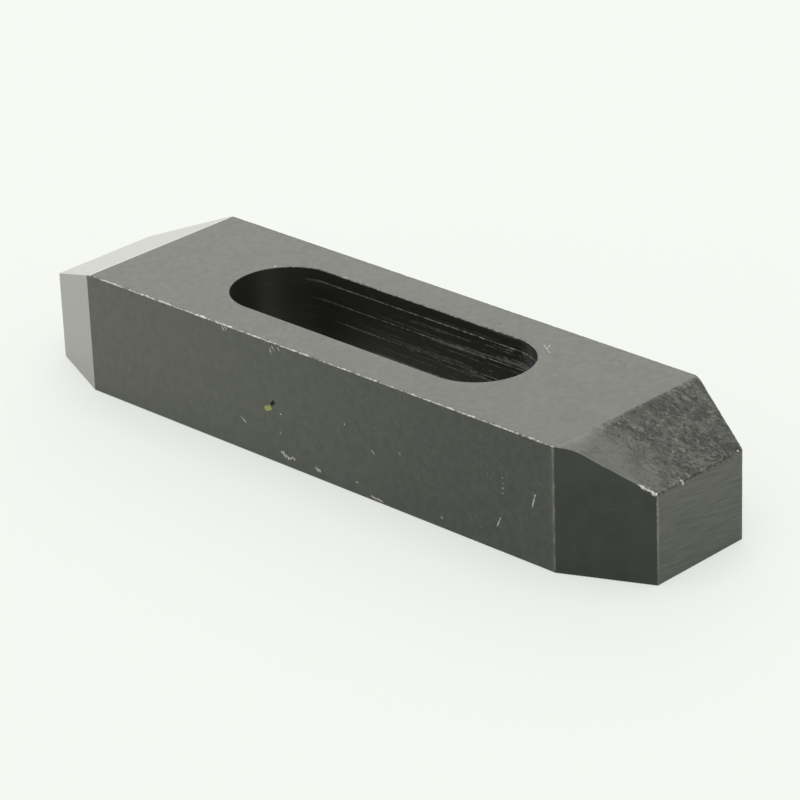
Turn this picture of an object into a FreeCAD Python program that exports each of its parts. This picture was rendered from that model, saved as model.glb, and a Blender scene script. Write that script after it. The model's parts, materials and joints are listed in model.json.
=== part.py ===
"""Plain strap clamp: a flat steel bar with a long slot for its clamping stud and two tapered ends.

Millimetres. The origin is the middle of the underside: +Y runs along the bar, +X across it, +Z up.
"""
import FreeCAD, Part
import math
import os

# Bar stock
bar_length = 100.0
bar_width = 25.0
bar_height = 16.0
edge_break = 0.15       # filed off the bar's long edges and corners; the slopes are ground after that

# Slot that the stud passes through
slot_width = 14.0
slot_travel = 32.3      # how far the stud's centre can move along the bar

# Corners cut off each end, as seen from above
corner_run = 10.8       # along the bar
corner_inset = 4.8      # in from the side

# Slope ground across the top of each end
slope_run = 9.7         # from the end face to where the slope's plane meets the top face
slope_drop = 4.5        # how much lower the end face stands than the bar
slope_blend = 4.0       # radius that eases the slope into the top face


def plan_outline():
    """Corners of the bar seen from above: a rectangle with each corner cut off."""
    side = bar_width / 2
    end = bar_length / 2
    quarter = [(side, end - corner_run), (side - corner_inset, end)]
    half = quarter + [(-x, y) for x, y in reversed(quarter)]
    return half + [(-x, -y) for x, y in half]


def blank():
    """Bar cut to length with its corners off and its edges broken, still as high all over."""
    corners = [FreeCAD.Vector(x, y, 0) for x, y in plan_outline()]
    outline = Part.makePolygon(corners + corners[:1])
    prism = Part.Face(outline).extrude(FreeCAD.Vector(0, 0, bar_height))
    return prism.makeChamfer(edge_break, prism.Edges)


def slope_waste(direction):
    """What is ground off the top of one end: direction is 1 for the end at +Y, and -1 for the other."""
    angle = math.atan2(slope_drop, slope_run)
    end = bar_length / 2
    blend_start = end - slope_run - slope_blend * math.tan(angle / 2)

    def in_section(y, z):
        return FreeCAD.Vector(0, direction * y, z)

    def on_blend(turn):
        return in_section(
            blend_start + slope_blend * math.sin(turn),
            bar_height - slope_blend + slope_blend * math.cos(turn),
        )

    # The waste runs past the end and the top face by one bar height, along the slope's own plane.
    beyond = end + bar_height
    beyond_height = bar_height - (beyond - end + slope_run) * math.tan(angle)
    above = 2 * bar_height
    blend = Part.Arc(on_blend(0), on_blend(angle / 2), on_blend(angle)).toShape()
    straight = Part.makePolygon([
        on_blend(angle),
        in_section(beyond, beyond_height),
        in_section(beyond, above),
        in_section(blend_start, above),
        on_blend(0),
    ])
    section = Part.Face(Part.Wire([blend, *straight.Edges]))
    section.translate(FreeCAD.Vector(-bar_width, 0, 0))
    return section.extrude(FreeCAD.Vector(2 * bar_width, 0, 0))


def stud_slot():
    """Slot cutter: the stud's clearance hole swept along its travel, through the bar's whole height."""
    radius = slot_width / 2
    reach = slot_travel / 2
    middle = Part.makeBox(slot_width, slot_travel, bar_height, FreeCAD.Vector(-radius, -reach, 0))
    ends = [Part.makeCylinder(radius, bar_height, FreeCAD.Vector(0, y, 0)) for y in (-reach, reach)]
    return middle.multiFuse(ends).removeSplitter()


def clamp_bar():
    """The whole clamp, which is one solid."""
    return blank().cut([slope_waste(1), slope_waste(-1), stud_slot()])


os.makedirs("parts", exist_ok=True)
clamp_bar().exportStep("parts/clamp_bar.step")
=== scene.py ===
"""Looks of the strap clamp: a blackened steel bar with worn edges, a milled slot and two ground slopes.

Sizes are in millimetres unless a line says otherwise; the meshes are turned into metres as they are made.
-Y is the nose, +Y the tail, -X the near side and +X the far side, as in the frame.
"""
import json
import math

import bmesh
import bpy
import numpy as np
from mathutils import Matrix, Vector
from mathutils.geometry import delaunay_2d_cdt


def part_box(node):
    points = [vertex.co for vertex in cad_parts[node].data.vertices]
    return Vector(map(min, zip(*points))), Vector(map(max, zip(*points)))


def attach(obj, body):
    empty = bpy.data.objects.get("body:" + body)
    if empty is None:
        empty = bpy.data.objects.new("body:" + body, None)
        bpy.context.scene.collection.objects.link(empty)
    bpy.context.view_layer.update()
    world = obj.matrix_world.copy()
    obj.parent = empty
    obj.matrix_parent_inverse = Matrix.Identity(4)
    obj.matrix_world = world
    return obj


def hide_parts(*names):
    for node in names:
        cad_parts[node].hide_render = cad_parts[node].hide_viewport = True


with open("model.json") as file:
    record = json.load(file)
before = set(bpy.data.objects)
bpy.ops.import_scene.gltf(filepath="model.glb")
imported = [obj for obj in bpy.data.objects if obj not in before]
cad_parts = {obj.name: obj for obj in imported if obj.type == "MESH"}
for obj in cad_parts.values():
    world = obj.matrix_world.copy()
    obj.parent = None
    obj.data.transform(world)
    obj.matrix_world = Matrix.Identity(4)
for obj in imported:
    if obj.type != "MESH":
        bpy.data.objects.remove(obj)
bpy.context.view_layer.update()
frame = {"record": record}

MM = 0.001

# ==== Sizes of the bar
bar_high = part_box("clamp_bar")[1]
half_width = bar_high.x / MM
half_length = bar_high.y / MM
bar_height = bar_high.z / MM

slot_mount = next(m for m in frame["record"]["mounts"] if m["name"] == "stud_slot")
slot_radius = slot_mount["dims"]["hole_r_mm"]
slot_half_travel = slot_mount["dims"]["slot_length_mm"] / 2 - slot_radius

edge_break = 0.07           # rubbed off the upper and lower edges
corner_break = 0.15         # rubbed off the upright corners
fresh_edge = 0.04           # what the grinder leaves on the edges of a slope
rim_break = 0.04            # left on the slot's rim by the cutter

# How each end came off the saw and the grinder. Insets are the near side's, then the far side's. Blends are
# the radii that ease the slope into the top face, at the near side, the middle and the far side.
nose = dict(way=-1, corner_run=10.95, insets=(5.08, 4.8), start=10.58, drop=4.5, blends=(7.0, 0.9, 2.5))
tail = dict(way=1, corner_run=10.95, insets=(4.7, 4.45), start=11.6, drop=4.4, blends=(1.2, 1.0, 1.0))

# Cutter passes down the slot wall
pass_depth = 2.4
first_pass = 1.55
pass_ledge = 0.035
pass_delay = 1.2            # how much nearer the nose each pass starts to show, for its number squared

# How readily each edge wears bright: 1 is an edge that everything rubs against. Each upper edge has a row of
# places, along X on an end and along Y elsewhere, and then how readily each place wears.
upper_edge_wear = (
    ((-7.6, -6.9, 7.0, 7.6), (1.4, 0.0, 0.0, 0.4)),
    ((-50, -40, -39), (0.4, 0.3, 0.5)),
    ((-39, 39), (0.35, 0.35)),
    ((39, 50), (0.2, 0.2)),
    ((-7.6, 7.6), (0.2, 0.2)),
    ((38, 40.5, 41.5), (1.4, 1.2, 0.2)),
    ((-39, -37, -33, -18, 8, 18, 34, 37, 38.2, 39), (1.0, 1.0, 0.7, 0.65, 0.8, 1.0, 1.0, 0.7, 0.5, 1.3)),
    ((-50, -48.4, -47.8, -41, -39), (3.0, 2.4, 0.1, 0.1, 0.6)),
)
upright_wear = (0.5, 0.3, 0.3, 0.2, 0.2, 0.2, 0.12, 0.36)          # in the order of plan_corners

# How strongly each upright corner is painted with a soft grey sheen, a painted highlight laid on as bare
# steel, and how far that reaches before it and after it
corner_sheen = ((1.0, 0.1, 0.36), (0.6, 0.3, 0.1), (0.6, 0.1, 0.3), (0.2, 0.2, 0.2),
                (0.3, 0.2, 0.2), (0.3, 0.2, 0.2), (0.2, 0.2, 0.2), (1.0, 0.45, 0.1))
lower_edge_wear = 0.2
rim_wear = 0.35             # on the far side; nothing rubs the near side

torn_reach = 0.5            # how far in from a torn edge the tearing goes

# Steel broken out of the nose's edges: each chip's place, and how far it reaches
chips = (((-2.85, -49.95, 11.2), 0.38), ((-2.85, -49.8, 11.7), 0.38), ((-2.8, -49.4, 11.95), 0.32),
         ((7.1, -49.8, 11.6), 0.25), ((-8.2, -48.3, 12.3), 0.24), ((-7.2, -49.7, 11.6), 0.26))

# Pits in the flat top: x, y, z and half width
top_pits = ((-9.8, 17.9, 16, 0.16), (-9.7, 7.0, 16, 0.12), (8.7, -11.6, 16, 0.16), (9.9, -29.6, 16, 0.17),
            (9.1, -31.0, 16, 0.14), (9.95, -28.7, 16, 0.13), (8.95, -29.1, 16, 0.1), (10.7, -26.7, 16, 0.13))

# Spacing of the mesh points. A ring lies so far in from a border, and keeps one point in every so many.
edge_pitch = 0.15
slope_pitch = 0.22
face_pitch = 1.0
slot_pitch = 0.8
upper_rings = ((0.015, 1), (0.04, 1), (0.08, 1), (0.15, 1), (0.27, 1), (0.45, 2), (0.8, 4))
lower_rings = ((0.03, 2), (0.12, 2), (0.5, 4), (1.2, 8))
past_rings = 0.55           # where the slopes' own points begin
face_margin = 1.0           # where the face's own points begin
slope_margin = 0.7          # and how far they keep from the slopes
border_margin = 0.012       # nothing but the border lies nearer to it than this
face_spacing = 0.025        # two points of a skin never lie closer than this
wall_spacing = 0.02
seam_pitch = 0.05           # along a wall's two upright borders, as a share of its height
seam_gap = 0.001            # points nearer than this are one
thinnest = 0.0001           # a triangle thinner than this is only rounding along a straight border

full_slope = 0.25           # how far below the top face the grinding shows in full
tail_scales = 0.06          # how scaly the tail's slope is, next to the nose's


def plan_corners():
    """The outline's eight corners seen from above, anticlockwise from the nose's near corner."""
    near, far = nose["insets"]
    tail_near, tail_far = tail["insets"]
    nose_y = -half_length + nose["corner_run"]
    tail_y = half_length - tail["corner_run"]
    return np.array([
        (near - half_width, -half_length),
        (half_width - far, -half_length),
        (half_width, nose_y),
        (half_width, tail_y),
        (half_width - tail_far, half_length),
        (tail_near - half_width, half_length),
        (-half_width, tail_y),
        (-half_width, nose_y),
    ])


# Faces of the outline, numbered by the corner that each starts from
NOSE_FACE, TAIL_FACE, TAIL_NEAR_CUT = 0, 4, 5


def slope_shape(end, x):
    """At x, an end's slope angle and the radius that eases the slope into the top face."""
    blend = np.interp(x, (-half_width, 0, half_width), end["blends"])
    angle = np.arctan(end["drop"] / end["start"])
    for _ in range(6):                  # each round brings the angle nearer to one that allows for the blend
        angle = np.arctan(end["drop"] / (end["start"] - blend * np.tan(angle / 2)))
    return angle, blend


def top_height(x, y):
    """Height of the bar's upper surface: the flat top, the blends and the ground slopes."""
    height = np.full(np.shape(y), bar_height)
    for end in (nose, tail):
        angle, blend = slope_shape(end, x)
        beyond = end["start"] - (half_length - end["way"] * y)
        along_blend = np.clip(beyond, 0, blend * np.sin(angle))
        past_blend = np.maximum(beyond - blend * np.sin(angle), 0)
        height -= blend - np.sqrt(blend ** 2 - along_blend ** 2) + past_blend * np.tan(angle)
    return height


def slope_share(x, y):
    """1 on the ground slopes and 0 on the flat top, with the blend between."""
    return np.clip((bar_height - top_height(x, y)) / full_slope, 0, 1)


def edge_round(x, y):
    """Radius left on the outline's upper edge: filed along the flat, fresh where a slope was ground."""
    return edge_break + (fresh_edge - edge_break) * slope_share(x, y)


def upper_wear_at(points):
    """How readily each of the outline's upper edges wears, at plan points."""
    x, y = points.T
    across = (NOSE_FACE, TAIL_FACE)
    return np.array([np.interp(x if k in across else y, *upper_edge_wear[k]) for k in range(8)])


def dropped(distance, radius):
    """How far a rounded edge has fallen away at a distance in from the outline."""
    inside = np.clip(radius - distance, 0, radius)
    return radius - np.sqrt(radius ** 2 - inside ** 2)


# ==== Loops that the walls stand on
def sample_run(start, end, pitch):
    """Evenly spaced points from start to end, both kept."""
    steps = max(1, round(np.linalg.norm(end - start) / pitch))
    return start + (end - start) * np.linspace(0, 1, steps + 1)[:, None]


def outline_loop(pitch):
    """The outline as a closed loop of points with its upright corners filed, starting mid tail face."""
    corners = plan_corners()
    order = [(TAIL_FACE + 1 + k) % 8 for k in range(8)]
    here = (corners[TAIL_FACE] + corners[TAIL_NEAR_CUT]) / 2
    runs = []
    corner_places = {}
    start = here
    for k in order:
        before = corners[k] - corners[k - 1]
        after = corners[(k + 1) % 8] - corners[k]
        before /= np.linalg.norm(before)
        after /= np.linalg.norm(after)
        turn = math.acos(np.clip(before @ after, -1, 1))
        reach = corner_break * math.tan(turn / 2) * 2
        enter, leave = corners[k] - before * reach, corners[k] + after * reach
        runs.append(sample_run(start, enter, pitch))
        bend = np.linspace(0, 1, 5)[1:-1, None]
        runs.append((1 - bend) ** 2 * enter + 2 * bend * (1 - bend) * corners[k] + bend ** 2 * leave)
        corner_places[k] = sum(len(run) for run in runs) - 2
        start = leave
    runs.append(sample_run(start, here, pitch))
    loop = np.concatenate(runs)
    return loop, corner_places


def slot_loop(pitch):
    """The slot's outline as a closed loop, starting at the tail end."""
    straight = slot_half_travel * 2
    arc_steps = max(12, round(math.pi * slot_radius / pitch))
    run_steps = max(2, round(straight / pitch))
    arc = np.linspace(0, math.pi, arc_steps + 1)
    half = arc_steps // 2
    tail_arc = np.stack([np.cos(arc), np.sin(arc)], 1) * slot_radius + (0, slot_half_travel)
    nose_arc = -np.stack([np.cos(arc), np.sin(arc)], 1) * slot_radius - (0, slot_half_travel)
    down = sample_run(tail_arc[-1], nose_arc[0], straight / run_steps)[1:-1]
    up = sample_run(nose_arc[-1], tail_arc[0], straight / run_steps)[1:-1]
    return np.concatenate([tail_arc[half:], down, nose_arc, up, tail_arc[:half + 1]])


def loop_lengths(loop):
    """Length along a loop at each of its points."""
    return np.concatenate([[0], np.cumsum(np.linalg.norm(np.diff(loop, axis=0), axis=1))])


def outline_depth(points):
    """How far plan points lie in from the outline: one row for each of its eight faces."""
    corners = plan_corners()
    depths = []
    for k in range(8):
        along = corners[(k + 1) % 8] - corners[k]
        inward = np.array([-along[1], along[0]]) / np.linalg.norm(along)
        depths.append((points - corners[k]) @ inward)
    return np.array(depths)


def slot_clearance(points):
    """How far plan points lie out from the slot's wall."""
    beyond = np.maximum(np.abs(points[:, 1]) - slot_half_travel, 0)
    return np.hypot(points[:, 0], beyond) - slot_radius


def nearest_edge(distances, wears):
    """Distance to the nearest edge at each point, and how readily that edge wears."""
    distances, wears = np.array(distances), np.array(wears)
    nearest = distances.argmin(0)
    points = np.arange(distances.shape[1])
    return distances[nearest, points], wears[nearest, points]


def torn_edge(from_nose_edge, from_rim, x):
    """1 on the edges that the tools tore: the nose slope's lower edge and the slot rim's far side."""
    at_nose = np.clip(1 - from_nose_edge / torn_reach, 0, 1)
    at_rim = np.clip(1 - from_rim / torn_reach, 0, 1) * np.clip(x / slot_radius, 0, 1)
    return np.maximum(at_nose, at_rim)


# ==== Skins: flat layouts of points, joined into triangles and placed on the bar
def joined(flat, borders=()):
    """Triangles over flat points. Each border is a closed run of point numbers that stays joined."""
    links = [(int(a), int(b)) for run in borders for a, b in zip(run, np.roll(run, -1))]
    inside_only = 1 if borders else 0
    made = delaunay_2d_cdt([Vector(p) for p in flat.tolist()], links, [], inside_only, 1e-6, True)
    source = np.array([sources[0] for sources in made[3]])
    faces = source[np.array(made[2])]
    first, second, third = flat[faces[:, 0]], flat[faces[:, 1]], flat[faces[:, 2]]
    area = np.abs(np.cross(second - first, third - first))
    longest = np.linalg.norm([second - first, third - second, first - third], axis=2).max(0)
    return faces[area > thinnest * longest]


def apart(points, spacing):
    """Drops points that fall in the same small square as an earlier one."""
    _, first = np.unique(np.round(points / spacing).astype(int), axis=0, return_index=True)
    return points[np.sort(first)]


def thinned(count, step):
    """Every step-th number up to count, and always the last one."""
    return [*range(0, count - 1, step), count - 1]


def grid_points(across, along):
    """Every pairing of a value from across with one from along."""
    return np.stack(np.meshgrid(across, along), -1).reshape(-1, 2)


def slope_points(end):
    """Rows of points on a slope, the first of them on the line where the flat top ends."""
    across = np.linspace(-half_width, half_width, round(2 * half_width / slope_pitch) + 1)
    rows = np.arange(-2, end["start"] / slope_pitch + 2) * slope_pitch
    x = np.tile(across, len(rows))
    y = end["way"] * (half_length - end["start"] + np.repeat(rows, len(across)))
    return np.column_stack([x, y])


def skin_marks(from_edge, rub, torn, slot_part=0, slope_part=0, sheen=0):
    """What the mesh carries at each point of a skin, for the wear, the painted sheen and the finishes."""
    none = np.zeros(len(from_edge))
    return {"from_edge": from_edge, "rub": rub, "torn": torn, "slot_part": none + slot_part,
            "slope_part": none + slope_part, "sheen": none + sheen}


def plan_skin(upper):
    """The top skin, or the underside, with rings of points along the outline and the slot's rim."""
    outer = outline_loop(edge_pitch)[0][:-1]
    rim = slot_loop(edge_pitch)[:-1]
    rings = upper_rings if upper else lower_rings
    rim_axis = np.column_stack([np.zeros(len(rim)), np.clip(rim[:, 1], -slot_half_travel, slot_half_travel)])
    inner = []
    for ring, step in rings:
        inner.append((outer * (1 - ring / half_width, 1 - ring / half_length))[::step])
        inner.append((rim + (rim - rim_axis) * ring / slot_radius)[::step])
    if upper:
        for end in (nose, tail):
            fine = slope_points(end)
            inner.append(fine[outline_depth(fine).min(0) > past_rings])
    across = np.arange(-half_width, half_width, face_pitch) + face_pitch / 2
    coarse = grid_points(across, np.arange(-half_length, half_length, face_pitch))
    clear = (outline_depth(coarse).min(0) > face_margin) & (slot_clearance(coarse) > face_margin)
    if upper:
        clear &= np.abs(coarse[:, 1]) < half_length - tail["start"] - slope_margin
    inner.append(coarse[clear])
    inner = np.concatenate(inner)
    inner = inner[(outline_depth(inner).min(0) > border_margin) & (slot_clearance(inner) > border_margin)]
    flat = np.concatenate([outer, rim, apart(inner, face_spacing)])
    faces = joined(flat, [np.arange(len(outer)), np.arange(len(outer), len(outer) + len(rim))])
    faces = faces[slot_clearance(flat[faces].mean(1)) > 0]
    depths = np.maximum(outline_depth(flat), 0)
    depth = depths.min(0)
    depth[:len(outer)] = 0
    clear = np.maximum(slot_clearance(flat), 0)
    clear[len(outer):len(outer) + len(rim)] = 0
    radius = edge_round(*flat.T) if upper else np.full(len(flat), edge_break)
    rim_radius = rim_break if upper else edge_break
    fall = dropped(depth, radius) + dropped(clear, np.full(len(flat), rim_radius))
    height = top_height(*flat.T) - fall if upper else fall
    wear = upper_wear_at(flat) if upper else np.full(depths.shape, lower_edge_wear)
    rim_wears = rim_wear * np.clip(flat[:, 0] / slot_radius, 0, 1)
    from_edge, rub = nearest_edge([*depths, clear], [*wear, rim_wears])
    scaly = np.where(flat[:, 1] < 0, 1, tail_scales)
    on_slope = slope_share(*flat.T) * np.clip(depth / 0.3, 0, 1) * scaly * upper
    torn = torn_edge(depths[NOSE_FACE], clear, flat[:, 0]) * upper
    marks = skin_marks(from_edge, rub, torn, slot_part=clear == 0, slope_part=on_slope)
    return np.column_stack([flat, height]), faces if upper else faces[:, ::-1], marks


def wall_skin(loop, upper, lower, rows, columns, spacing):
    """A wall over a loop, unrolled. Heights run from 0 at the lower border to 1 at the upper one."""
    length = loop_lengths(loop)
    count = len(loop)
    tall = float(np.max(upper - lower))
    seam = [share for share, _ in rows] + list(np.arange(seam_pitch, 0.99, seam_pitch))
    seam = np.unique(np.round(seam, 3))
    border = [np.column_stack([length, np.full(count, share)]) for share in (0, 1)]
    border += [np.column_stack([np.full(len(seam), at), seam]) for at in (0, length[-1])]
    inner = [np.column_stack([length, np.full(count, share)])[thinned(count, step)] for share, step in rows]
    inner += columns
    even = np.linspace(0, length[-1], round(length[-1] / spacing) + 1)
    inner.append(grid_points(even, np.arange(spacing, tall - spacing / 2, spacing) / tall))
    inner = np.concatenate(inner)
    inner = inner[(inner[:, 0] > 0.1) & (inner[:, 0] < length[-1] - 0.1)]
    inner = inner[(inner[:, 1] > 0.002) & (inner[:, 1] < 0.998)]
    laid = np.concatenate(border + [apart(inner * (1, tall), wall_spacing) / (1, tall)])
    faces = joined(laid * (1, tall))
    x, y, low, high = (np.interp(laid[:, 0], length, part) for part in (*loop.T, lower, upper))
    return np.column_stack([x, y, low + laid[:, 1] * (high - low)]), faces, laid, high - low


def outline_wall():
    """The outer wall, with close rows under its upper edge and close columns at its upright corners."""
    loop, corner_places = outline_loop(edge_pitch)
    length = loop_lengths(loop)
    upper = top_height(*loop.T) - edge_round(*loop.T)
    tall = bar_height - 2 * edge_break
    rows = [(1 - down / tall, step) for down, step in ((0.07, 1), (0.16, 1), (0.3, 2), (0.55, 3), (1.0, 6))]
    rows += [(up / tall, step) for up, step in ((0.1, 2), (0.3, 3), (0.7, 6))]
    beside = np.array([-0.9, -0.4, -0.2, -0.1, -0.04, 0, 0.04, 0.1, 0.2, 0.4, 0.9])
    heights = np.linspace(0.02, 0.98, 42)
    columns = [grid_points(length[place] + beside, heights) for place in corner_places.values()]
    lower = np.full(len(loop), edge_break)
    points, faces, laid, span = wall_skin(loop, upper, lower, rows, columns, face_pitch)
    face_of = outline_depth(points[:, :2]).argmin(0)
    every = np.ones(len(points))
    down, up = (1 - laid[:, 1]) * span, laid[:, 1] * span
    distances = [down, up]
    wears = [upper_wear_at(points[:, :2])[face_of, np.arange(len(points))], lower_edge_wear * every]
    sheen = 0 * every
    for corner, place in corner_places.items():
        past_corner = laid[:, 0] - length[place]
        distances.append(np.abs(past_corner))
        wears.append(upright_wear[corner] * (0.35 + 0.65 * laid[:, 1]))
        # painted highlight: a soft grey sheen along each upright corner, stronger towards the top
        strength, before, after = corner_sheen[corner]
        reach = np.where(past_corner < 0, before, after)
        rub_and_sheen = np.clip(1 - np.abs(past_corner) / reach, 0, 1) * (0.6 + 0.4 * laid[:, 1])
        sheen = np.maximum(sheen, strength * rub_and_sheen)
    from_edge, rub = nearest_edge(distances, wears)
    torn = np.where(face_of == NOSE_FACE, torn_edge(down, torn_reach * every, 0 * every), 0)
    return points, faces, skin_marks(from_edge, rub, torn, sheen=sheen)


def slot_wall():
    """The slot's wall, with close rows where each cutter pass ends."""
    loop = slot_loop(edge_pitch)
    upper = bar_height - rim_break
    tall = upper - edge_break
    levels = [(upper - 0.08, 1), (upper - 0.2, 2), (upper - 0.45, 3), (edge_break + 0.2, 3)]
    for ledge in np.arange(bar_height - first_pass, 1, -pass_depth):
        levels += [(ledge + away, 2) for away in (-0.2, -0.07, -0.02, 0.02, 0.07, 0.2)]
    rows = [((level - edge_break) / tall, step) for level, step in levels]
    flat_borders = np.full(len(loop), upper), np.full(len(loop), edge_break)
    points, faces, laid, span = wall_skin(loop, *flat_borders, rows, [], slot_pitch)
    every = np.ones(len(points))
    down, up = (1 - laid[:, 1]) * span, laid[:, 1] * span
    rim_wears = rim_wear * np.clip(points[:, 0] / slot_radius, 0, 1)
    from_edge, rub = nearest_edge([down, up], [rim_wears, lower_edge_wear * every])
    torn = torn_edge(torn_reach * every, down, points[:, 0])
    return points, faces[:, ::-1], skin_marks(from_edge, rub, torn, slot_part=every)


# ==== The bar before wear: four skins sewn into one closed mesh, each triangle marked with its finish

# Each finish: the oxide's ior, its tones from black at 0 to grey at 1, its roughness, how far in from an edge
# it rubs off, and the relief of its pattern
looks = {
    "ground_top": (1.55, (0.23, 0.35), (0.34, 0.4), 0.14, 0.0015),
    "nose_slope": (1.5, (0.0, 1.0), (0.5, 0.34), 0.16, 0.3),
    "tail_slope": (1.8, (0.5, 0.75), (0.16, 0.12), 0.16, 0.0003),
    "drawn_side": (1.5, (0.38, 0.84), (0.42, 0.5), 0.06, 0.004),
    "nose_corner": (1.45, (0.145, 0.215), (0.42, 0.48), 0.1, 0.004),
    "tail_corner": (2.0, (0.5, 0.6), (0.24, 0.28), 0.1, 0.0),
    "milled_end": (1.5, (0.46, 0.82), (0.5, 0.4), 0.1, 0.02),
    "milled_slot": (1.42, (0.0, 0.12), (0.42, 0.36), 0.08, 0.02),
    "underside": (1.5, (0.32, 0.46), (0.42, 0.52), 0.12, 0.004),
}
finishes = tuple(looks)
outline_finishes = ("milled_end", "nose_corner", "drawn_side", "tail_corner",
                    "milled_end", "tail_corner", "drawn_side", "nose_corner")


def clean_bar():
    """The bar's steel as one closed mesh, with how far each point is from a worn edge."""
    top, underside, wall, slot = plan_skin(True), plan_skin(False), outline_wall(), slot_wall()
    skins = (top, underside, wall, slot)
    starts = np.cumsum([0] + [len(skin[0]) for skin in skins])
    points = np.concatenate([skin[0] for skin in skins])
    faces = np.concatenate([skin[1] + start for skin, start in zip(skins, starts)])
    centres = [skin[0][skin[1]].mean(1) for skin in skins]
    on_slope = slope_share(*centres[0][:, :2].T) > 0
    slope_finish = np.where(centres[0][:, 1] < 0, finishes.index("nose_slope"), finishes.index("tail_slope"))
    wall_face = outline_depth(centres[2][:, :2]).argmin(0)
    finish_of = np.concatenate([
        np.where(on_slope, slope_finish, finishes.index("ground_top")),
        np.full(len(centres[1]), finishes.index("underside")),
        np.array([finishes.index(name) for name in outline_finishes])[wall_face],
        np.full(len(centres[3]), finishes.index("milled_slot")),
    ])
    mesh = bpy.data.meshes.new("clamp_bar_steel")
    mesh.from_pydata((points * MM).tolist(), [], faces.tolist())
    mesh.attributes.new("finish", "INT", "FACE").data.foreach_set("value", finish_of.astype(np.int32))
    for name in top[2]:
        values = np.concatenate([skin[2][name] for skin in skins]).astype(np.float32)
        mesh.attributes.new(name, "FLOAT", "POINT").data.foreach_set("value", values)
    sewing = bmesh.new()
    sewing.from_mesh(mesh)
    bmesh.ops.remove_doubles(sewing, verts=sewing.verts, dist=seam_gap * MM)
    sewing.to_mesh(mesh)
    sewing.free()
    mesh.shade_smooth()
    bar = bpy.data.objects.new("clamp_bar_steel", mesh)
    bpy.context.scene.collection.objects.link(bar)
    return bar


# ==== Small helpers that lay nodes down, for shapes and for finishes
def put(tree, kind, sockets=None, **settings):
    """Adds a node, sets it up, and feeds its sockets with values or with other nodes' outputs."""
    node = tree.nodes.new(kind)
    for name, value in settings.items():
        setattr(node, name, value)
    for key, value in (sockets or {}).items():
        if isinstance(value, bpy.types.NodeSocket):
            tree.links.new(value, node.inputs[key])
        else:
            node.inputs[key].default_value = value
    return node


def tree_of(*terms):
    """The node tree that the first socket among terms belongs to."""
    return next(term.id_data for term in terms if isinstance(term, bpy.types.NodeSocket))


def maths(operation, *terms, clamp=False):
    sockets = dict(enumerate(terms))
    return put(tree_of(*terms), "ShaderNodeMath", sockets, operation=operation, use_clamp=clamp).outputs[0]


def folded(operation):
    """A helper that joins its terms from left to right; clamp keeps what comes out between 0 and 1."""
    def join(*terms, clamp=False):
        value = terms[0]
        for k, term in enumerate(terms[1:], 2):
            value = maths(operation, value, term, clamp=clamp and k == len(terms))
        return value
    return join


plus, minus, times, over, most = map(folded, ("ADD", "SUBTRACT", "MULTIPLY", "DIVIDE", "MAXIMUM"))


def vectors(operation, *terms):
    """A node that works on vectors; its two outputs are the vector and the value."""
    return put(tree_of(*terms), "ShaderNodeVectorMath", dict(enumerate(terms)), operation=operation).outputs


def distance(place, other):
    return vectors("DISTANCE", place, other)["Value"]


def scaled(vector, factor):
    sockets = {0: vector, 3: factor}
    return put(tree_of(vector, factor), "ShaderNodeVectorMath", sockets, operation="SCALE").outputs[0]


def mixed_colour(share, first, second):
    """The first colour where share is 0 and the second where it is 1."""
    sockets = {"Factor": share, 6: first, 7: second}
    return put(tree_of(share, first, second), "ShaderNodeMix", sockets, data_type="RGBA").outputs[2]


def turned(place, x=0.0, y=0.0, z=0.0):
    """place turned about each axis, in degrees."""
    turns = tuple(math.radians(turn) for turn in (x, y, z))
    return put(tree_of(place), "ShaderNodeMapping", {"Vector": place, "Rotation": turns}).outputs[0]


def eased(value, low, high, to_low=0.0, to_high=1.0):
    """value eased from to_low, at low, to to_high, at high."""
    sockets = {"Value": value, "From Min": low, "From Max": high, "To Min": to_low, "To Max": to_high}
    return put(tree_of(value), "ShaderNodeMapRange", sockets, interpolation_type="SMOOTHSTEP").outputs[0]


def noise(place, scale, detail=2.0, roughness=0.5, distortion=0.0):
    sockets = {"Vector": place, "Scale": scale, "Detail": detail, "Roughness": roughness,
               "Distortion": distortion}
    return put(tree_of(place), "ShaderNodeTexNoise", sockets).outputs[0]


def stretched(place, x, y, z):
    """place with each direction scaled, so that a pattern grows longer where the number is smaller."""
    return vectors("MULTIPLY", place, (x, y, z))[0]


# ==== Wear that has a shape: nicked edges, ledges between cutter passes and the scale of the ground slopes
wear_sizes = {
    "Nick Depth": 0.16,
    "Nick Length": 0.8,
    "Nick Reach": 0.3,
    "Tooth Depth": 0.15,
    "Tooth Length": 0.4,
    "First Pass": first_pass,
    "Pass Depth": pass_depth,
    "Pass Ledge": pass_ledge,
    "Scale Depth": 0.12,
    "Scale Length": 1.3,
    "Scale Width": 0.5,
}
wear_seed = 7


def mesh_value(tree, name, kind="FLOAT"):
    """A value that the bar's mesh carries."""
    return put(tree, "GeometryNodeInputNamedAttribute", {"Name": name}, data_type=kind).outputs[0]


def edge_nicks(tree, given, place, seeded):
    """Nicks near the bar's edges, in patches as long as Nick Length, and the chips alone."""
    pattern = noise(seeded, over(1.0, given["Nick Length"]), 3.0, 0.6)
    near_edge = eased(mesh_value(tree, "from_edge"), 0.0, given["Nick Reach"], 1.0, 0.0)
    rub_and_sheen = eased(mesh_value(tree, "rub"), 0.1, 0.8)
    nick = times(eased(pattern, 0.52, 0.72), near_edge, rub_and_sheen)
    chipped = 0.0
    for chip_place, reach in chips:
        away = distance(place, chip_place)
        chipped = most(chipped, eased(away, reach * 0.4, reach, 1.0, 0.0))
    return most(nick, chipped), chipped


def torn_teeth(tree, given, seeded):
    """Tearing, finer than nicks, and only on the edges that the tools tore."""
    pattern = noise(seeded, over(1.0, given["Tooth Length"]), 2.0, 0.6)
    return times(eased(pattern, 0.42, 0.62), mesh_value(tree, "torn"))


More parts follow.
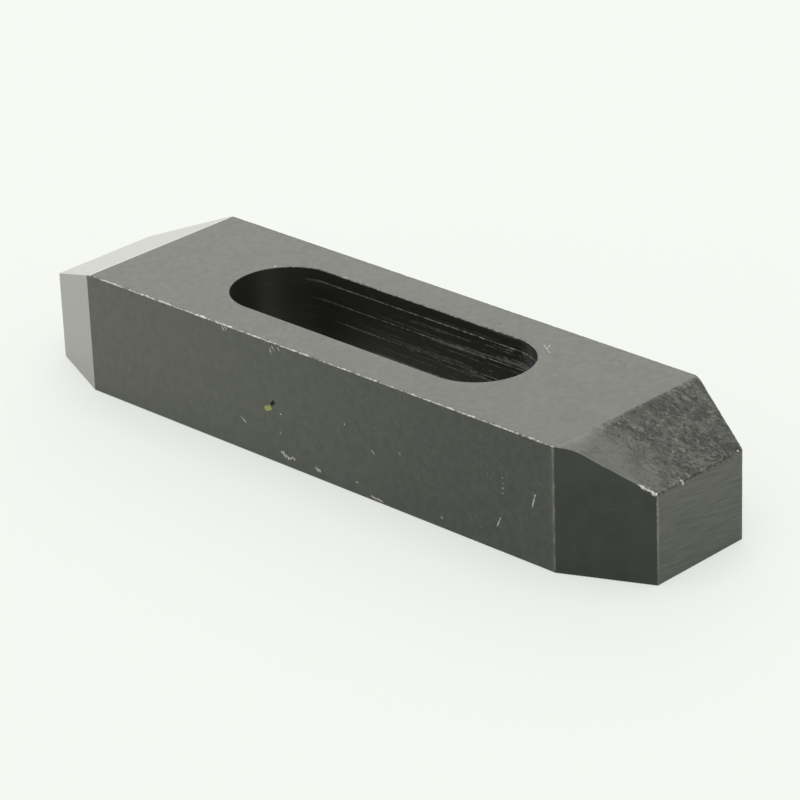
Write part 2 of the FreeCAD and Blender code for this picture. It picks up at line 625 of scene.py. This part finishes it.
def slot_ledges(tree, given, y, z):
    """How much narrower each cutter pass leaves the slot, fading towards the tail."""
    below_top = minus(bar_height, z)
    passes = over(minus(below_top, given["First Pass"]), given["Pass Depth"])
    step = eased(maths("FRACT", passes), 0.0, 0.03)
    level = most(plus(maths("FLOOR", passes), step), 0.0)
    shown = plus(y, times(level, level, pass_delay))
    fade = times(eased(shown, 15.0, 20.0, 1.0, 0.0), eased(z, 0.2, 0.8))
    return times(level, given["Pass Ledge"], fade, mesh_value(tree, "slot_part"))


def slope_scales(tree, given, seeded):
    """The scale of the ground slopes, drawn out along the bar."""
    wide = over(1.0, given["Scale Width"])
    long = over(1.0, given["Scale Length"])
    drawn = put(tree, "ShaderNodeCombineXYZ", {"X": wide, "Y": long, "Z": long}).outputs[0]
    scales = noise(vectors("MULTIPLY", seeded, drawn)[0], 1.0, 3.0, 0.55, 0.6)
    return times(scales, given["Scale Depth"], mesh_value(tree, "slope_part"))


def wear_tree(materials):
    """Geometry nodes that take the clean bar and leave it worn."""
    tree = bpy.data.node_groups.new("clamp_bar_wear", "GeometryNodeTree")
    tree.interface.new_socket("Geometry", in_out="INPUT", socket_type="NodeSocketGeometry")
    for name in wear_sizes:
        tree.interface.new_socket(name, in_out="INPUT", socket_type="NodeSocketFloat")
    tree.interface.new_socket("Seed", in_out="INPUT", socket_type="NodeSocketInt")
    tree.interface.new_socket("Geometry", in_out="OUTPUT", socket_type="NodeSocketGeometry")
    given = put(tree, "NodeGroupInput").outputs
    place = stretched(put(tree, "GeometryNodeInputPosition").outputs[0], 1 / MM, 1 / MM, 1 / MM)
    seeded = vectors("ADD", place, put(tree, "ShaderNodeCombineXYZ", {"X": given["Seed"]}).outputs[0])[0]
    _, y, z = put(tree, "ShaderNodeSeparateXYZ", {"Vector": place}).outputs
    nick, chipped = edge_nicks(tree, given, place, seeded)
    teeth = torn_teeth(tree, given, seeded)
    bite = times(teeth, given["Tooth Depth"], eased(y, -48.0, -47.0, 1.0, 0.0))
    inward = plus(times(nick, given["Nick Depth"]), bite, slope_scales(tree, given, seeded))
    outward = times(minus(slot_ledges(tree, given, y, z), inward), MM)
    geometry = given["Geometry"]
    # bite carries the torn teeth to the finishes, which paint shade into them
    for name, value in (("nick", nick), ("chipped", chipped), ("bite", teeth)):
        sockets = {"Geometry": geometry, "Name": name, "Value": value}
        geometry = put(tree, "GeometryNodeStoreNamedAttribute", sockets, data_type="FLOAT",
                       domain="POINT").outputs[0]
    offset = scaled(put(tree, "GeometryNodeInputNormal").outputs[0], outward)
    moved = put(tree, "GeometryNodeSetPosition", {"Geometry": geometry, "Offset": offset}).outputs[0]
    geometry = put(tree, "GeometryNodeRealizeInstances", {"Geometry": moved}).outputs[0]
    finish = mesh_value(tree, "finish", "INT")
    for number, name in enumerate(finishes):
        picked = put(tree, "FunctionNodeCompare", {2: finish, 3: number}, data_type="INT", operation="EQUAL")
        sockets = {"Geometry": geometry, "Selection": picked.outputs[0], "Material": materials[name]}
        geometry = put(tree, "GeometryNodeSetMaterial", sockets).outputs[0]
    put(tree, "NodeGroupOutput", {"Geometry": geometry})
    return tree


def worn(bar, materials):
    """Runs the wear on the bar and leaves it a plain mesh."""
    bar.data.materials.append(materials[finishes[0]])          # or the tree leaves its first slot empty
    modifier = bar.modifiers.new("wear", "NODES")
    tree = wear_tree(materials)
    modifier.node_group = tree
    for item in tree.interface.items_tree:
        if item.in_out == "INPUT" and item.name in wear_sizes:
            modifier[item.identifier] = wear_sizes[item.name]
        elif item.in_out == "INPUT" and item.name == "Seed":
            modifier[item.identifier] = wear_seed
    graph = bpy.context.evaluated_depsgraph_get()
    plain = bpy.data.meshes.new_from_object(bar.evaluated_get(graph), depsgraph=graph)
    bar.modifiers.remove(modifier)
    bar.data = plain
    return bar


# ==== Finishes
oxide_black = (0.0062, 0.0078, 0.0052, 1.0)
oxide_grey = (0.118, 0.124, 0.106, 1.0)
bare_steel = (0.62, 0.61, 0.575, 1.0)
bare_roughness = 0.34
paint_green = (0.33, 0.36, 0.1, 1.0)

# How much of the ends is bare steel all over
bare_share = {"nose_slope": 0.0, "nose_corner": 0.0, "tail_slope": 0.84, "tail_corner": 0.385}
pit_depth = 0.04
brush_turn = -6.5           # degrees that the lines on the end faces fall by
scale_turn = -12            # degrees that the scale on the slopes is turned by

# Marks that stand alone: a start, an end and a half width
top_scratches = (((7.6, -19.76, 16), (6.33, -21.85, 16), 0.09), ((8.05, -20.32, 16), (7.0, -20.8, 16), 0.08),
                 ((4.1, 22.2, 16), (4.4, 22.5, 16), 0.14), ((7.2, 13.1, 16), (7.35, 12.8, 16), 0.16))
slot_scratch = ((slot_radius, 9.0, 15.7), (slot_radius, 7.35, 14.3), 0.09)

# Scuffs on the near side: y and z of the start, y and z of the end, and a half width
dotted_row = [(-31.2, z, -31.2, z, width) for z, width in (
    (9.6, 0.14), (8.95, 0.13), (8.3, 0.14), (7.65, 0.13))]
side_scuffs = (
    (5.2, 1.7, 4.7, 1.4, 0.2), (4.9, 1.8, 4.6, 1.2, 0.16), (4.4, 1.55, 4.1, 1.05, 0.16),
    (4.3, 1.3, 3.9, 1.25, 0.19), (3.7, 1.2, 3.4, 1.5, 0.15), (3.3, 1.5, 3.0, 1.35, 0.18),
    (-0.5, 1.3, -1.3, 1.2, 0.18), (-0.7, 1.5, -0.9, 1.0, 0.15), (-1.0, 1.4, -1.3, 1.05, 0.15),
    (-9.9, 0.55, -10.7, 0.35, 0.16), (-10.9, 0.5, -11.7, 0.3, 0.16), (-21.3, 1.4, -21.4, 1.3, 0.15),
    (12.0, 4.3, 11.3, 3.9, 0.13), *dotted_row, (-36.2, 9.0, -35.7, 7.4, 0.15), (-30.7, 4.3, -30.2, 3.2, 0.12),
    (-10.3, 6.6, -10.6, 6.3, 0.12), (14.6, 15.75, 14.2, 15.2, 0.1), (14.1, 15.8, 13.8, 15.5, 0.1),
    (6.4, 15.1, 6.1, 14.5, 0.09), (6.0, 15.5, 5.6, 15.0, 0.09), (5.0, 15.6, 4.7, 15.3, 0.1),
    (5.1, 6.8, 5.0, 6.8, 0.12), (5.3, 4.3, 5.2, 4.2, 0.12), (-5.8, 8.8, -5.9, 8.7, 0.12),
    (-14.8, 7.7, -14.9, 7.6, 0.12), (-7.5, 1.6, -7.6, 1.6, 0.13),
)
paint_fleck = (7.5, 6.85, 6.9, 7.1, 0.42)
gouge_beside_it = (6.5, 7.7, 6.2, 8.0, 0.34)
side_swirl = (-half_width, 0.2, 4.3)
side_swirl_reach = 1.9


class Finish:
    """One blackened finish: its shader, its look, and millimetre coordinates for its patterns."""

    def __init__(self, name):
        ior, self.tones, self.roughs, self.rub_width, self.relief = looks[name]
        self.material = bpy.data.materials.new(name)
        self.material.use_nodes = True
        self.tree = self.material.node_tree
        self.shader = self.tree.nodes["Principled BSDF"]
        self.shader.inputs["IOR"].default_value = ior
        object_place = put(self.tree, "ShaderNodeTexCoord").outputs["Object"]
        self.place = stretched(object_place, 1 / MM, 1 / MM, 1 / MM)
        self.x, self.y, self.z = put(self.tree, "ShaderNodeSeparateXYZ", {"Vector": self.place}).outputs

    def feed(self, socket, value):
        self.tree.links.new(value, self.shader.inputs[socket])

    def fed(self, socket):
        return self.shader.inputs[socket].links[0].from_socket


def attribute(finish, name):
    return put(finish.tree, "ShaderNodeAttribute", attribute_name=name).outputs["Fac"]


def cloud(finish, pattern, low, high, to_low=0.0, to_high=1.0):
    """Soft patches: noise of a scale, a detail and a roughness, eased as eased says."""
    return eased(noise(finish.place, *pattern), low, high, to_low, to_high)


def edge_wear_and_sheen(finish):
    """Where the blacking has worn or broken off an edge, in uneven patches, and the painted sheen: a soft
    grey highlight laid on the upright corners as bare steel.
    """
    rub = attribute(finish, "rub")
    patches = cloud(finish, (0.4, 3.0, 0.6), 0.3, 0.65, 0.35, 1.0)
    ragged = cloud(finish, (1.9, 5.0, 0.8), 0.36, 0.7, 0.1, 3.0)
    reach = times(patches, ragged, finish.rub_width)
    reach = times(reach, plus(times(rub, 0.65), 0.35))
    reach = plus(reach, times(attribute(finish, "nick"), 0.12))
    worn_off = over(minus(reach, attribute(finish, "from_edge")), 0.07, clamp=True)
    worn_off = times(worn_off, eased(rub, 0.0, 0.8, 0.0, 0.85))
    broken = cloud(finish, (3.0, 2.0), 0.35, 0.55, 0.4, 0.9)
    chipped = times(eased(attribute(finish, "chipped"), 0.3, 0.9), broken)
    # painted highlight: the upright corners' soft grey sheen
    sheen = times(attribute(finish, "sheen"), eased(patches, 0.35, 1.0, 0.1, 0.3))
    return most(worn_off, chipped, sheen)


def streaks(finish, marks, strength):
    """Straight light marks: each is a start, an end and a half width, and fades at its border."""
    total = None
    for start, end, width in marks:
        start, end = Vector(start), Vector(end)
        run = end - start
        from_start = vectors("SUBTRACT", finish.place, start)[0]
        along = vectors("DOT_PRODUCT", from_start, run)["Value"]
        share = over(along, max(run.length_squared, 1e-6), clamp=True)
        away = distance(from_start, scaled(run, share))
        mark = eased(away, width * 0.3, width, 1.0, 0.0)
        total = mark if total is None else most(total, mark)
    broken = cloud(finish, (4.5, 2.0), 0.36, 0.54, 0.15, 1.0)
    return times(total, broken, strength)


def dots(places):
    """Marks without length for streaks: round dots at the places given, each with its half width."""
    return [(place, place, width) for *place, width in places]


def on_near_side(marks):
    """Marks for streaks that lie on the near side, from rows such as side_scuffs."""
    return [((-half_width, y0, z0), (-half_width, y1, z1), width) for y0, z0, y1, z1, width in marks]


def flecks(finish, spacing, size, share, across, along):
    """Tiny round flecks, one to a cell of about spacing, in the given share of the cells.

    across and along are the two coordinates that run over the face.
    """
    tree = finish.tree
    on_face = put(tree, "ShaderNodeCombineXYZ", {"X": across, "Y": along}).outputs[0]
    sockets = {"Vector": on_face, "Scale": 1 / spacing}
    cells = put(tree, "ShaderNodeTexVoronoi", sockets, voronoi_dimensions="2D")
    near = eased(cells.outputs["Distance"], size / spacing * 0.5, size / spacing, 1.0, 0.0)
    lot = put(tree, "ShaderNodeSeparateColor", {"Color": cells.outputs["Color"]}).outputs[0]
    return times(near, maths("LESS_THAN", lot, share))


def swirls(finish, centre, reach):
    """Faint rings left by a tool around centre, gone beyond reach."""
    away = distance(finish.place, centre)
    ring = eased(maths("PINGPONG", away, 0.22), 0.12, 0.2)
    part = cloud(finish, (0.9, 2.0), 0.45, 0.6)
    return times(ring, part, eased(away, reach * 0.5, reach, 1.0, 0.0))


def blacken(finish, tone, roughness, height, bare, torn=False):
    """Joins a finish up: tone is 0 for black and 1 for grey, and bare is 1 for bright steel.

    height is in millimetres. A torn finish is painted black where the tools tore its edge, as painted shade
    in the torn edge's notches, and it is dull there.
    """
    tree = finish.tree
    if torn:
        # painted shade: black in the torn edge's teeth, where its notches lie in shade
        bite = attribute(finish, "bite")
        tone = times(tone, minus(1.0, bite, clamp=True), clamp=True)
        roughness = most(roughness, times(bite, 0.9))
    oxide = mixed_colour(tone, oxide_black, oxide_grey)
    finish.feed("Base Color", mixed_colour(bare, oxide, bare_steel))
    finish.feed("Metallic", bare)
    rough = put(tree, "ShaderNodeMix", {"Factor": bare, 2: roughness, 3: bare_roughness}).outputs[0]
    finish.feed("Roughness", rough)
    bump = put(tree, "ShaderNodeBump", {"Height": height, "Distance": MM, "Strength": 1.0})
    finish.feed("Normal", bump.outputs[0])
    return finish.material


def ground_top():
    """The flat top: satin, faintly mottled, with a few tiny pits, and painted shade in the teeth along the
    slot's torn rim.
    """
    finish = Finish("ground_top")
    place = finish.place
    tone = cloud(finish, (0.22, 4.0, 0.6), 0.25, 0.75, *finish.tones)
    roughness = cloud(finish, (1.2, 3.0), 0.3, 0.7, *finish.roughs)
    pits = flecks(finish, 6.0, 0.14, 0.2, finish.x, finish.y)
    pits = most(pits, streaks(finish, dots(top_pits), 1.0))
    tone = minus(tone, times(pits, 0.3), clamp=True)
    grain = times(noise(place, 4.0, 3.0, 0.6), finish.relief)
    height = minus(grain, times(pits, pit_depth))
    # painted shade: dark teeth along the slot's torn rim, where its notches would lie in shade
    spikes = noise(stretched(place, 0.7, 2.4, 1.0), 1.0, 3.0, 0.8)
    spikes = eased(spikes, 0.42, 0.72, 0.0, 0.8)
    painted_tear_shade = eased(plus(attribute(finish, "torn"), spikes), 1.0, 1.08)
    tone = times(tone, minus(1.0, painted_tear_shade), clamp=True)
    roughness = plus(roughness, times(painted_tear_shade, 0.5))
    bare = most(edge_wear_and_sheen(finish), streaks(finish, top_scratches, 0.5))
    return blacken(finish, tone, roughness, height, bare)


def scaly_slope(name, torn):
    """A ground slope: blotched, with scales drawn out along the bar, and smoother on the near side."""
    finish = Finish(name)
    place = finish.place
    drawn = turned(place, z=scale_turn)
    smears = noise(stretched(drawn, 0.5, 0.28, 0.28), 1.0, 3.0, 0.55, 0.8)
    grit = noise(stretched(drawn, 2.0, 1.25, 1.25), 1.0, 4.0, 0.75, 0.9)
    from_near = eased(finish.x, -9.0, 0.0)
    patchy = cloud(finish, (0.35, 2.0), 0.35, 0.6, 0.45, 1.0)
    gritty = times(plus(times(from_near, 0.7), 0.3), patchy)
    flakes = minus(eased(grit, 0.5, 0.64), eased(grit, 0.34, 0.5, 1.0, 0.0))
    flakes = times(flakes, gritty, 0.95)
    darker = times(from_near, -0.57)
    mixed = plus(eased(smears, 0.3, 0.7, 0.67, 1.12), darker, flakes)
    low, high = finish.tones
    tone = plus(times(mixed, high - low), low, clamp=True)
    roughness = eased(mixed, 0.0, 1.0, *finish.roughs)
    height = times(grit, gritty, finish.relief)
    glints = times(eased(grit, 0.6, 0.7), gritty, 0.14)
    bare = most(edge_wear_and_sheen(finish), most(glints, bare_share[name]))
    return blacken(finish, tone, roughness, height, bare, torn)


def drawn_side():
    """The long sides, as drawn: even satin grey with painted light that makes them lighter towards the tail,
    with specks and light scuffs.
    """
    finish = Finish("drawn_side")
    place = finish.place
    tone = cloud(finish, (0.9, 5.0, 0.75), 0.3, 0.7, -0.09, 0.09)
    # painted light: the side grows lighter towards the tail
    tone = plus(tone, eased(finish.y, -42.0, 46.0, *finish.tones))
    roughness = cloud(finish, (0.8, 3.0), 0.3, 0.7, *finish.roughs)
    patchy = cloud(finish, (0.16, 2.0), 0.45, 0.62, 0.1, 1.0)
    specks = times(flecks(finish, 1.0, 0.12, 0.25, finish.y, finish.z), patchy)
    tone = plus(tone, times(specks, 0.9))
    dark_specks = flecks(finish, 2.6, 0.11, 0.3, finish.y, finish.z)
    tone = minus(tone, times(dark_specks, 0.35))
    tone = plus(tone, times(swirls(finish, side_swirl, side_swirl_reach), 0.25))
    grain = times(noise(place, 5.0, 3.0, 0.6), finish.relief)
    scuffed = streaks(finish, on_near_side(side_scuffs), 0.85)
    material = blacken(finish, tone, roughness, grain, most(edge_wear_and_sheen(finish), scuffed))
    paint = streaks(finish, on_near_side([paint_fleck]), 2.5)
    gouge = streaks(finish, on_near_side([gouge_beside_it]), 4.0)
    painted = mixed_colour(paint, finish.fed("Base Color"), paint_green)
    finish.feed("Base Color", mixed_colour(gouge, painted, oxide_black))
    finish.feed("Roughness", most(finish.fed("Roughness"), gouge, clamp=True))
    return material


def sawn_corner(name):
    """A corner cut off an end: smooth, with faint upright saw marks."""
    finish = Finish(name)
    place = finish.place
    tone = cloud(finish, (0.3, 4.0, 0.6), 0.3, 0.7, *finish.tones)
    # painted light: lighter towards the top of the face
    tone = plus(tone, eased(finish.z, 8.0, 15.0, 0.0, 0.08))
    smudges = noise(stretched(place, 0.5, 0.5, 1.1), 1.0, 4.0, 0.75)
    tone = plus(tone, eased(smudges, 0.56, 0.7, 0.0, 0.1))
    roughness = cloud(finish, (1.0, 3.0), 0.3, 0.7, *finish.roughs)
    saw_marks = noise(stretched(place, 0.6, 0.6, 4.0), 1.0, 3.0, 0.6)
    grain = times(saw_marks, finish.relief)
    return blacken(finish, tone, roughness, grain, most(edge_wear_and_sheen(finish), bare_share[name]))


def milled_end():
    """The end faces: brushed, with lines that fall towards the far side."""
    finish = Finish("milled_end")
    place = finish.place
    lines = noise(stretched(turned(place, y=brush_turn), 0.2, 0.2, 2.6), 1.0, 5.0, 0.75)
    tone = eased(lines, 0.3, 0.7, *finish.tones)
    # painted light: lighter towards the top of the face
    tone = plus(tone, eased(finish.z, 5.0, 12.0, 0.0, 0.14))
    tone = minus(tone, cloud(finish, (0.5, 4.0, 0.7), 0.55, 0.75, 0.0, 0.1))
    roughness = eased(lines, 0.3, 0.7, *finish.roughs)
    return blacken(finish, tone, roughness, times(lines, finish.relief), edge_wear_and_sheen(finish), torn=True)


def ledge_highlights(finish):
    """Painted highlights, laid on as bare steel: bright broken lines where the ledges that the cutter passes
    left catch the light, fading as the ledges do.
    """
    place = finish.place
    passes = over(minus(bar_height - first_pass, finish.z), pass_depth)
    gap = times(maths("PINGPONG", passes, 0.5), pass_depth)
    level = maths("ROUND", passes)
    shown = plus(finish.y, times(level, level, pass_delay))
    dashes = noise(stretched(place, 1.6, 1.6, 0.6), 1.0, 4.0, 0.75)
    dashes = eased(dashes, 0.36, 0.62, 0.45, 1.0)
    starting = eased(shown, 11.0, 16.0)
    reach = plus(times(dashes, 0.085), times(starting, 0.1))
    line = over(minus(reach, gap), 0.05, clamp=True)
    fade = times(eased(shown, 17.0, 20.5, 1.0, 0.0),
                 eased(finish.y, -20.0, 6.0, 1.15, 0.55))
    weaker = over(fade, plus(times(level, 0.18), 1.0))
    return times(line, weaker, eased(starting, 0.0, 1.0, 1.0, 0.35), dashes)


def milled_slot():
    """The slot's wall: black, with feed lines that deepen towards the nose and painted highlights on the
    ledges.
    """
    finish = Finish("milled_slot")
    place = finish.place
    nearer = eased(finish.y, -24.0, 14.0, 1.3, 0.06)
    feed = noise(stretched(place, 0.05, 0.05, 2.0), 1.0, 3.0, 0.8)
    chatter = noise(stretched(place, 1.2, 1.2, 3.0), 1.0, 3.0, 0.7)
    lines = eased(plus(times(feed, 0.75), times(chatter, 0.25)), 0.53, 0.6)
    strip = bar_height - first_pass
    lines = times(lines, nearer, eased(finish.z, strip - 0.2, strip, 1.0, 0.25))
    tone = plus(lines, eased(finish.y, -16.0, 16.0, *finish.tones))
    specks = times(flecks(finish, 1.3, 0.1, 0.2, finish.y, finish.z), nearer, 0.8)
    tone = plus(tone, specks)
    glint = times(lines, 0.05)
    # the ledges' bright lines are painted highlights
    bare = most(ledge_highlights(finish), glint, edge_wear_and_sheen(finish), streaks(finish, [slot_scratch], 0.12))
    roughness = eased(lines, 0.0, 1.0, *finish.roughs)
    return blacken(finish, tone, roughness, times(lines, finish.relief), bare)


def underside():
    """The face that the bar lies on: plain drawn steel, as the long sides are."""
    finish = Finish("underside")
    place = finish.place
    tone = cloud(finish, (0.2, 4.0, 0.6), 0.3, 0.7, *finish.tones)
    roughness = cloud(finish, (1.0, 3.0), 0.3, 0.7, *finish.roughs)
    specks = flecks(finish, 2.6, 0.1, 0.25, finish.x, finish.y)
    tone = plus(tone, times(specks, 0.3))
    grain = times(noise(place, 5.0, 3.0, 0.6), finish.relief)
    return blacken(finish, tone, roughness, grain, edge_wear_and_sheen(finish))


# ==== Studio: camera, pale floor and soft light, in metres
camera_azimuth, camera_elevation, camera_roll = -45.361, 24.946, -2.194         # degrees
camera_distance, camera_aside, camera_above = 0.461721, 0.0021475, -0.0021145
camera_lens, camera_sensor = 170.756, 36                                        # millimetres
floor_reach = 4.0
floor_level = -0.00002      # a hair under the bar, so that the two faces don't share a plane
floor_colour = (0.915, 0.935, 0.9, 1.0)
floor_glow = (0.95, 0.97, 0.945, 1.0)
floor_glow_share = 0.56
world_colour = (0.985, 1.0, 0.97, 1.0)
world_light = 0.575         # what lights the bar; where the world is seen it has full strength
lamp_tint = (0.99, 1.0, 0.89)


def add_camera():
    azimuth, elevation, roll = map(math.radians, (camera_azimuth, camera_elevation, camera_roll))
    middle = Vector((0, 0, bar_high.z / 2))
    looking = Vector((-math.sin(azimuth) * math.cos(elevation), math.cos(azimuth) * math.cos(elevation),
                      -math.sin(elevation)))
    level = Vector((math.cos(azimuth), math.sin(azimuth), 0))
    upright = level.cross(looking)
    right = math.cos(roll) * level + math.sin(roll) * upright
    up = -math.sin(roll) * level + math.cos(roll) * upright
    place = middle - camera_distance * looking + camera_aside * right + camera_above * up
    data = bpy.data.cameras.new("camera")
    data.sensor_width = camera_sensor
    data.lens = camera_lens
    data.clip_start = 0.01
    data.clip_end = 20
    camera = bpy.data.objects.new("camera", data)
    camera.matrix_world = Matrix.Translation(place) @ Matrix((right, up, -looking)).transposed().to_4x4()
    bpy.context.scene.collection.objects.link(camera)
    bpy.context.scene.camera = camera


def seen_directly(tree):
    """1 for rays from the camera, a mirror or glass, and 0 for rays that carry light to the object."""
    rays = put(tree, "ShaderNodeLightPath").outputs
    return most(rays["Is Camera Ray"], rays["Is Glossy Ray"], rays["Is Transmission Ray"])


def add_floor():
    """A pale floor that glows a little where it is seen, so that the bar's shadow lies lightly on it."""
    square = ((-1, -1), (1, -1), (1, 1), (-1, 1))
    corners = [(x * floor_reach, y * floor_reach, floor_level) for x, y in square]
    mesh = bpy.data.meshes.new("floor")
    mesh.from_pydata(corners, [], [(0, 1, 2, 3)])
    floor = bpy.data.objects.new("floor", mesh)
    bpy.context.scene.collection.objects.link(floor)
    material = bpy.data.materials.new("pale_floor")
    material.use_nodes = True
    tree = material.node_tree
    shader = tree.nodes["Principled BSDF"]
    shader.inputs["Base Color"].default_value = floor_colour
    shader.inputs["Roughness"].default_value = 0.9
    shader.inputs["Specular IOR Level"].default_value = 0.2
    glow = put(tree, "ShaderNodeEmission", {"Color": floor_glow, "Strength": 1.0}).outputs[0]
    share = times(seen_directly(tree), floor_glow_share)
    mixed = put(tree, "ShaderNodeMixShader", {0: share, 1: shader.outputs[0], 2: glow}).outputs[0]
    tree.links.new(mixed, tree.nodes["Material Output"].inputs["Surface"])
    mesh.materials.append(material)


def add_lamp(name, place, size, watts):
    """A rectangular lamp aimed at the middle of the floor."""
    data = bpy.data.lights.new(name, "AREA")
    data.color = lamp_tint
    data.shape = "RECTANGLE"
    data.size, data.size_y = size
    data.energy = watts
    lamp = bpy.data.objects.new(name, data)
    lamp.location = place
    lamp.rotation_mode = "QUATERNION"
    lamp.rotation_quaternion = (Vector((0, 0, 0)) - Vector(place)).to_track_quat("-Z", "Y")
    bpy.context.scene.collection.objects.link(lamp)


def add_world():
    world = bpy.data.worlds.new("studio")
    world.use_nodes = True
    tree = world.node_tree
    background = tree.nodes["Background"]
    background.inputs["Color"].default_value = world_colour
    strength = eased(seen_directly(tree), 0.0, 1.0, world_light, 1.0)
    tree.links.new(strength, background.inputs["Strength"])
    bpy.context.scene.world = world


materials = {
    "ground_top": ground_top(),
    "nose_slope": scaly_slope("nose_slope", torn=True),
    "tail_slope": scaly_slope("tail_slope", torn=False),
    "drawn_side": drawn_side(),
    "nose_corner": sawn_corner("nose_corner"),
    "tail_corner": sawn_corner("tail_corner"),
    "milled_end": milled_end(),
    "milled_slot": milled_slot(),
    "underside": underside(),
}
bar = worn(clean_bar(), materials)
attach(bar, "root")
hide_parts("clamp_bar")

add_camera()
add_floor()
add_lamp("back_lamp", place=(0.75, 0.75, 0.62), size=(1.1, 0.5), watts=2.6)
add_lamp("overhead_lamp", place=(0, 0, 1.2), size=(1.1, 1.1), watts=6.0)
add_world()
bpy.context.scene.view_settings.view_transform = "Standard"
